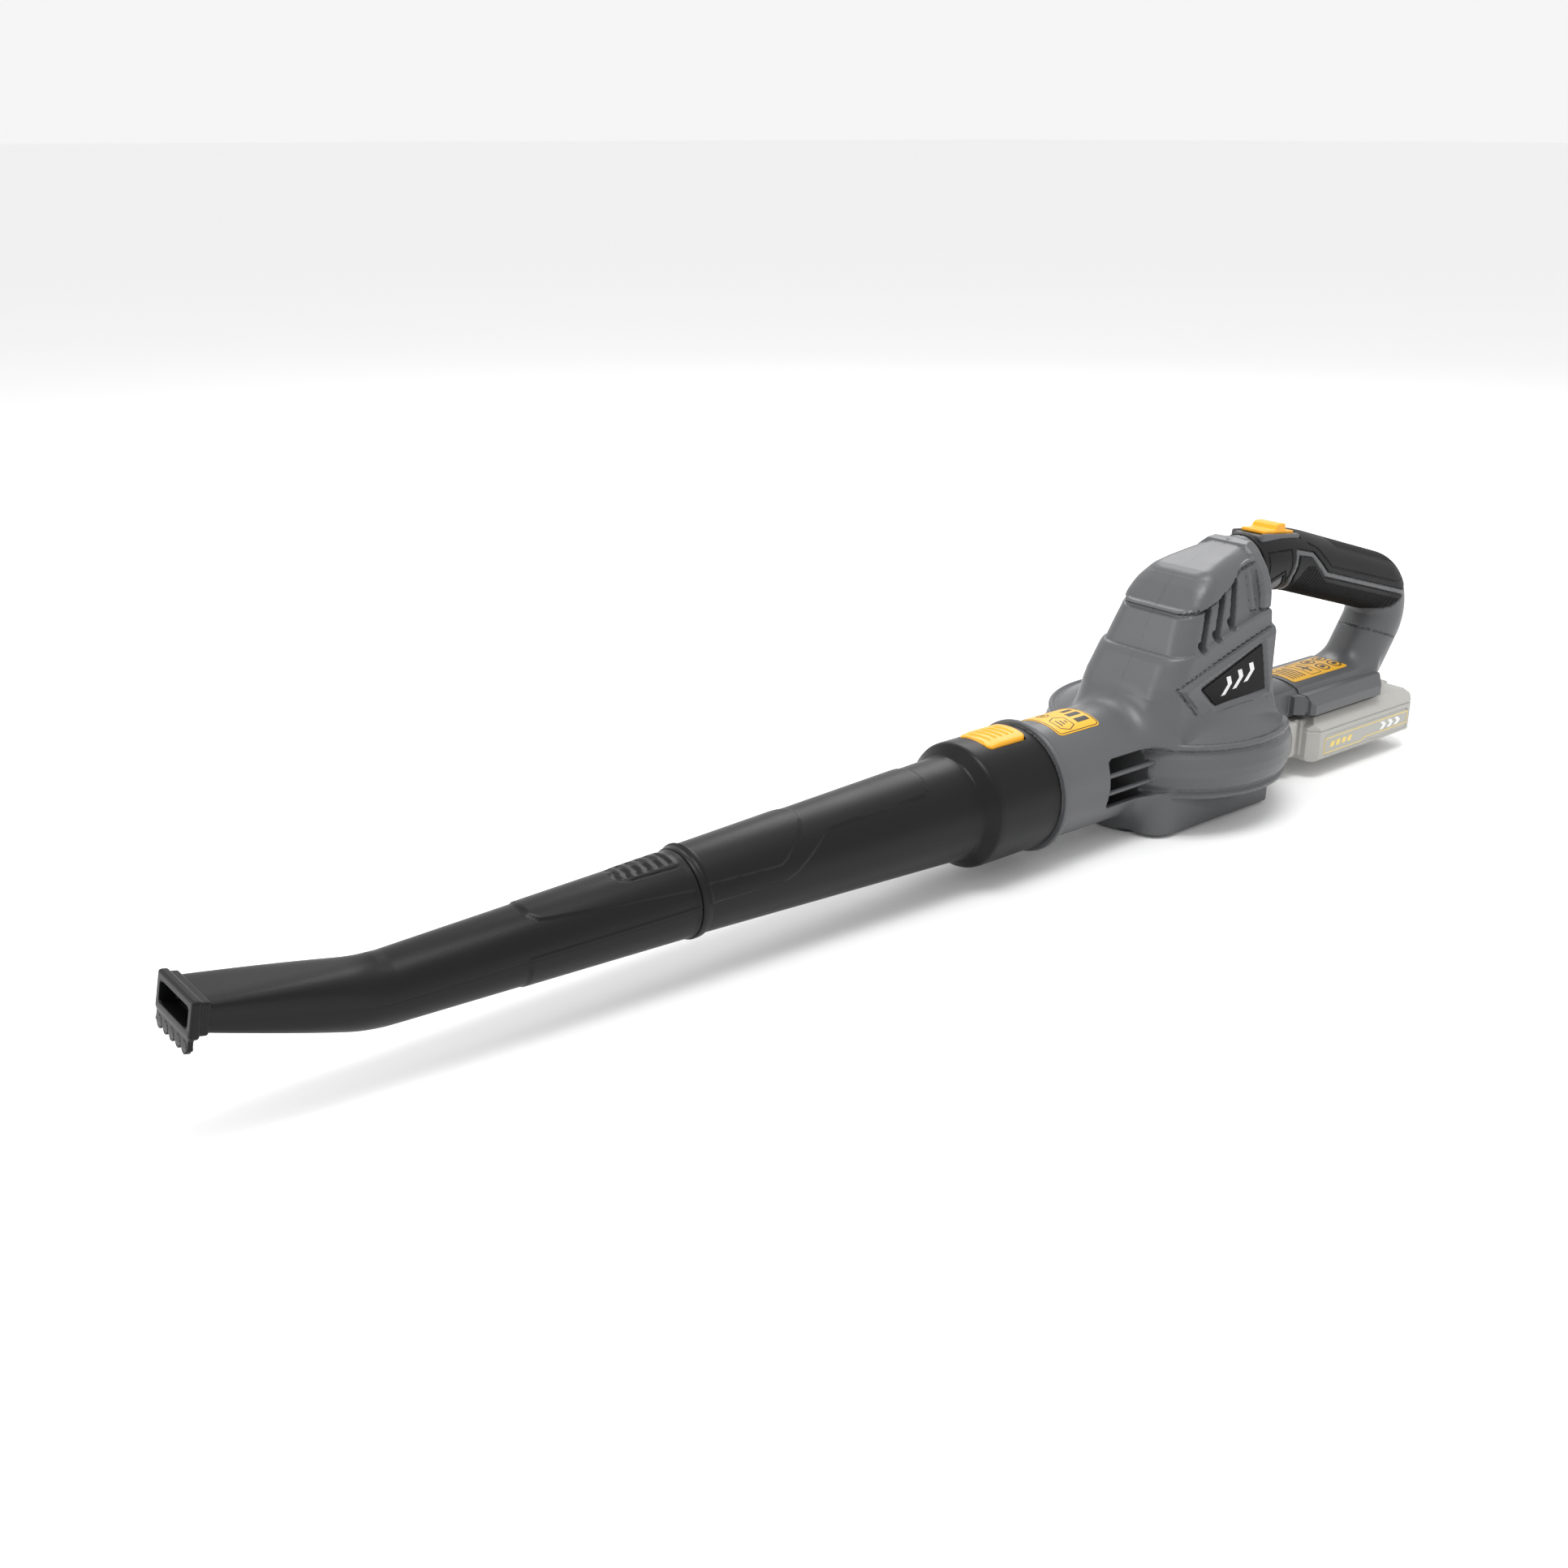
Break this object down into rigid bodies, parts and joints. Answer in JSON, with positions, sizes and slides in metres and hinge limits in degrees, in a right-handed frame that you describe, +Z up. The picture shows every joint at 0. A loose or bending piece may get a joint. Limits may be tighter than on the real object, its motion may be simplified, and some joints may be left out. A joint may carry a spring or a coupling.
{
  "type": "cordless leaf blower",
  "caption": "Hand-held cordless leaf blower with a two-part push-on tube, flat scraper nozzle, scroll fan housing, looped handle and slide-on battery.",
  "frame": {"origin": "on the air tube's axis at the front face of the housing's outlet flange", "axes": "+X back along the tube's axis to the handle and battery, +Y to the tool's right-hand side seen from the back of the handle, +Z up from the feet to the slide switch"},
  "size_m": [0.9435, 0.169, 0.1858],
  "materials": {
    "housing_gray": "fine satin moulded grain",
    "tube_black": "smooth satin moulding",
    "signal_yellow": "semi-gloss moulding",
    "grip_rubber": "soft matt overmould with ribs",
    "badge_black": "satin printed plate",
    "label_yellow": "printed vinyl",
    "inner_black": "glass filled nylon",
    "fan_plastic": "glass filled nylon",
    "screw_steel": "zinc plated",
    "motor_steel": "drawn steel",
    "magnet_dark": "sintered ferrite",
    "foot_rubber": "matt",
    "lead_red": "silicone insulation",
    "lead_black": "silicone insulation",
    "contact_brass": "stamped",
    "battery_gray": "satin moulding",
    "cell_wrap": "shrink wrapped",
    "board_green": "solder mask"
  },
  "bodies": {
    "body": {"housing_left": "housing_gray", "housing_right": "housing_gray", "badge_left": "badge_black", "badge_right": "badge_black", "grip_left": "grip_rubber", "grip_right": "grip_rubber", "outlet_label": "label_yellow", "info_label": "label_yellow", "switch_module": "inner_black", "intake_guard": "inner_black", "guard_screws": "screw_steel", "rear_feet": "foot_rubber", "housing_screws": "screw_steel", "motor_plate": "inner_black", "motor_can": "motor_steel", "motor_end_cap": "inner_black", "lower_bearing": "motor_steel", "upper_bearing": "motor_steel", "magnets": "magnet_dark", "motor_damper": "foot_rubber", "motor_screws": "screw_steel", "red_lead": "lead_red", "black_lead": "lead_black", "switch_leads": "lead_black", "terminal_block": "inner_black", "terminal_blades": "contact_brass"},
    "fan": {"impeller": "fan_plastic", "impeller_nut": "screw_steel", "motor_shaft": "motor_steel", "rotor": "motor_steel"},
    "rear_tube": {"rear_tube": "tube_black"},
    "nozzle": {"nozzle_tube": "tube_black"},
    "tube_button": {"tube_release_button": "signal_yellow"},
    "switch": {"slide_switch": "signal_yellow"},
    "latch": {"battery_latch": "battery_gray"},
    "battery": {"battery_case_bottom": "battery_gray", "battery_case_top": "battery_gray", "battery_contacts": "contact_brass", "battery_cells": "cell_wrap", "battery_board": "board_green", "latch_spring": "screw_steel", "battery_screws": "screw_steel"}
  },
  "joints": [
    {"name": "fan_spin", "type": "hinge", "parent": "body", "child": "fan", "pos_m": [0.158, 0.01, 0], "axis": [0, 0, 1], "continuous": true},
    {"name": "tube_slide", "type": "slide", "parent": "body", "child": "rear_tube", "axis": [-1, 0, 0], "range_m": [0, 0.048]},
    {"name": "nozzle_slide", "type": "slide", "parent": "rear_tube", "child": "nozzle", "axis": [-1, 0, 0], "range_m": [0, 0.038]},
    {"name": "tube_button_press", "type": "slide", "parent": "rear_tube", "child": "tube_button", "axis": [0, 0, -1], "range_m": [0, 0.0015], "stiffness_N_per_m": 1200, "springref_m": -0.001},
    {"name": "switch_slide", "type": "slide", "parent": "body", "child": "switch", "axis": [-0.9925, 0, 0.1219], "range_m": [0, 0.008]},
    {"name": "battery_slide", "type": "slide", "parent": "body", "child": "battery", "axis": [1, 0, 0], "range_m": [0, 0.11]},
    {"name": "battery_latch_press", "type": "slide", "parent": "battery", "child": "latch", "axis": [0, 0, -1], "range_m": [0, 0.003], "stiffness_N_per_m": 400, "springref_m": -0.002, "deforming": ["latch_spring"]}
  ]
}
